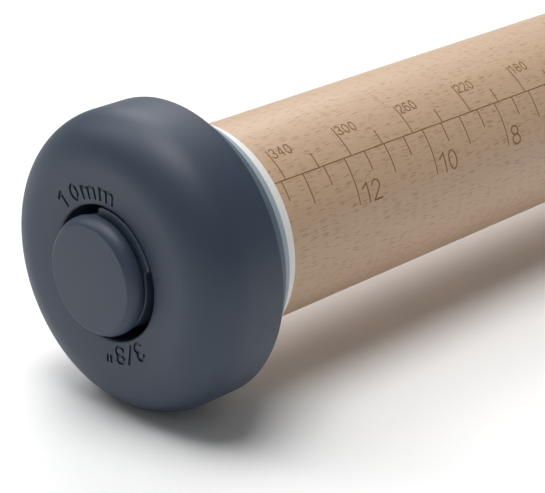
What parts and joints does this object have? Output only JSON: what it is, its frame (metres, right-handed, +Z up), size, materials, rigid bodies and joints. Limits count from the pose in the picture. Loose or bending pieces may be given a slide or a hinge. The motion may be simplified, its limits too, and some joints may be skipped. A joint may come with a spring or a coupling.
{
  "type": "adjustable rolling pin",
  "caption": "Straight wooden roller with stepped removable thickness discs on hubs at both ends, clamped by a screw knob, for rolling dough to an even height.",
  "frame": {"origin": "on the surface that the pin stands on, under the middle of the roller", "axes": "+X along the roller's axis towards the right end, +Y level and square to it, +Z up"},
  "size_m": [0.4188, 0.0638, 0.0639],
  "materials": {
    "beech": "oiled beech, fine short flecks along the grain",
    "slate_plastic": "satin moulded plastic, dark slate blue",
    "mid_blue_plastic": "satin moulded plastic, mid grey-blue",
    "light_blue_plastic": "satin moulded plastic, light grey-blue",
    "white_plastic": "satin moulded plastic, warm white",
    "hub_plastic": "satin moulded plastic, grey, hidden in use",
    "washer_plastic": "black sliding plastic",
    "steel": "stainless steel, machined",
    "brass": "plain brass"
  },
  "bodies": {
    "roller": {"beech_roller": "beech", "left_end_hub": "hub_plastic", "left_hub_screw_1": "steel", "left_hub_screw_2": "steel", "left_hub_screw_3": "steel", "left_thread_insert": "brass", "right_end_hub": "hub_plastic", "right_hub_screw_1": "steel", "right_hub_screw_2": "steel", "right_hub_screw_3": "steel", "right_thread_insert": "brass"},
    "left_washer_slide_body": {"left_thrust_washer": "washer_plastic"},
    "left_knob": {"left_knob_core": "slate_plastic", "left_knob_cap": "slate_plastic", "left_knob_bolt": "steel", "left_retaining_clip": "steel"},
    "left_disc_10mm_body": {"left_disc_10mm": "slate_plastic"},
    "left_disc_6mm_body": {"left_disc_6mm": "mid_blue_plastic"},
    "left_disc_4mm_body": {"left_disc_4mm": "light_blue_plastic"},
    "left_disc_2mm_body": {"left_disc_2mm": "white_plastic"},
    "right_washer_slide_body": {"right_thrust_washer": "washer_plastic"},
    "right_knob": {"right_knob_core": "slate_plastic", "right_knob_cap": "slate_plastic", "right_knob_bolt": "steel", "right_retaining_clip": "steel"},
    "right_disc_10mm_body": {"right_disc_10mm": "slate_plastic"},
    "right_disc_6mm_body": {"right_disc_6mm": "mid_blue_plastic"},
    "right_disc_4mm_body": {"right_disc_4mm": "light_blue_plastic"},
    "right_disc_2mm_body": {"right_disc_2mm": "white_plastic"}
  },
  "joints": [
    {"name": "left_knob_travel", "type": "slide", "parent": "roller", "child": "left_washer_slide_body", "axis": [-1, 0, 0], "range_m": [0, 0.012]},
    {"name": "left_knob_turn", "type": "hinge", "parent": "left_washer_slide_body", "child": "left_knob", "pos_m": [-0.2, 0, 0.03193], "axis": [-1, 0, 0], "range_deg": [0, 1441]},
    {"name": "left_disc_10mm_slide", "type": "slide", "parent": "roller", "child": "left_disc_10mm_body", "axis": [-1, 0, 0], "range_m": [0, 0.0067]},
    {"name": "left_disc_6mm_slide", "type": "slide", "parent": "roller", "child": "left_disc_6mm_body", "axis": [-1, 0, 0], "range_m": [0, 0.0049]},
    {"name": "left_disc_4mm_slide", "type": "slide", "parent": "roller", "child": "left_disc_4mm_body", "axis": [-1, 0, 0], "range_m": [0, 0.0031]},
    {"name": "left_disc_2mm_slide", "type": "slide", "parent": "roller", "child": "left_disc_2mm_body", "axis": [-1, 0, 0], "range_m": [0, 0.0015]},
    {"name": "right_knob_travel", "type": "slide", "parent": "roller", "child": "right_washer_slide_body", "axis": [1, 0, 0], "range_m": [0, 0.012]},
    {"name": "right_knob_turn", "type": "hinge", "parent": "right_washer_slide_body", "child": "right_knob", "pos_m": [0.2, 0, 0.03193], "axis": [1, 0, 0], "range_deg": [0, 1441]},
    {"name": "right_disc_10mm_slide", "type": "slide", "parent": "roller", "child": "right_disc_10mm_body", "axis": [1, 0, 0], "range_m": [0, 0.0067]},
    {"name": "right_disc_6mm_slide", "type": "slide", "parent": "roller", "child": "right_disc_6mm_body", "axis": [1, 0, 0], "range_m": [0, 0.0049]},
    {"name": "right_disc_4mm_slide", "type": "slide", "parent": "roller", "child": "right_disc_4mm_body", "axis": [1, 0, 0], "range_m": [0, 0.0031]},
    {"name": "right_disc_2mm_slide", "type": "slide", "parent": "roller", "child": "right_disc_2mm_body", "axis": [1, 0, 0], "range_m": [0, 0.0015]}
  ],
  "couplings": [
    {"joint": "left_knob_turn", "follows": "left_knob_travel", "rad_per_m": 2094.4},
    {"joint": "left_disc_10mm_slide", "follows": "left_knob_travel", "ratio": 0.55},
    {"joint": "left_disc_6mm_slide", "follows": "left_knob_travel", "ratio": 0.4},
    {"joint": "left_disc_4mm_slide", "follows": "left_knob_travel", "ratio": 0.25},
    {"joint": "left_disc_2mm_slide", "follows": "left_knob_travel", "ratio": 0.12},
    {"joint": "right_knob_turn", "follows": "right_knob_travel", "rad_per_m": 2094.4},
    {"joint": "right_disc_10mm_slide", "follows": "right_knob_travel", "ratio": 0.55},
    {"joint": "right_disc_6mm_slide", "follows": "right_knob_travel", "ratio": 0.4},
    {"joint": "right_disc_4mm_slide", "follows": "right_knob_travel", "ratio": 0.25},
    {"joint": "right_disc_2mm_slide", "follows": "right_knob_travel", "ratio": 0.12}
  ]
}
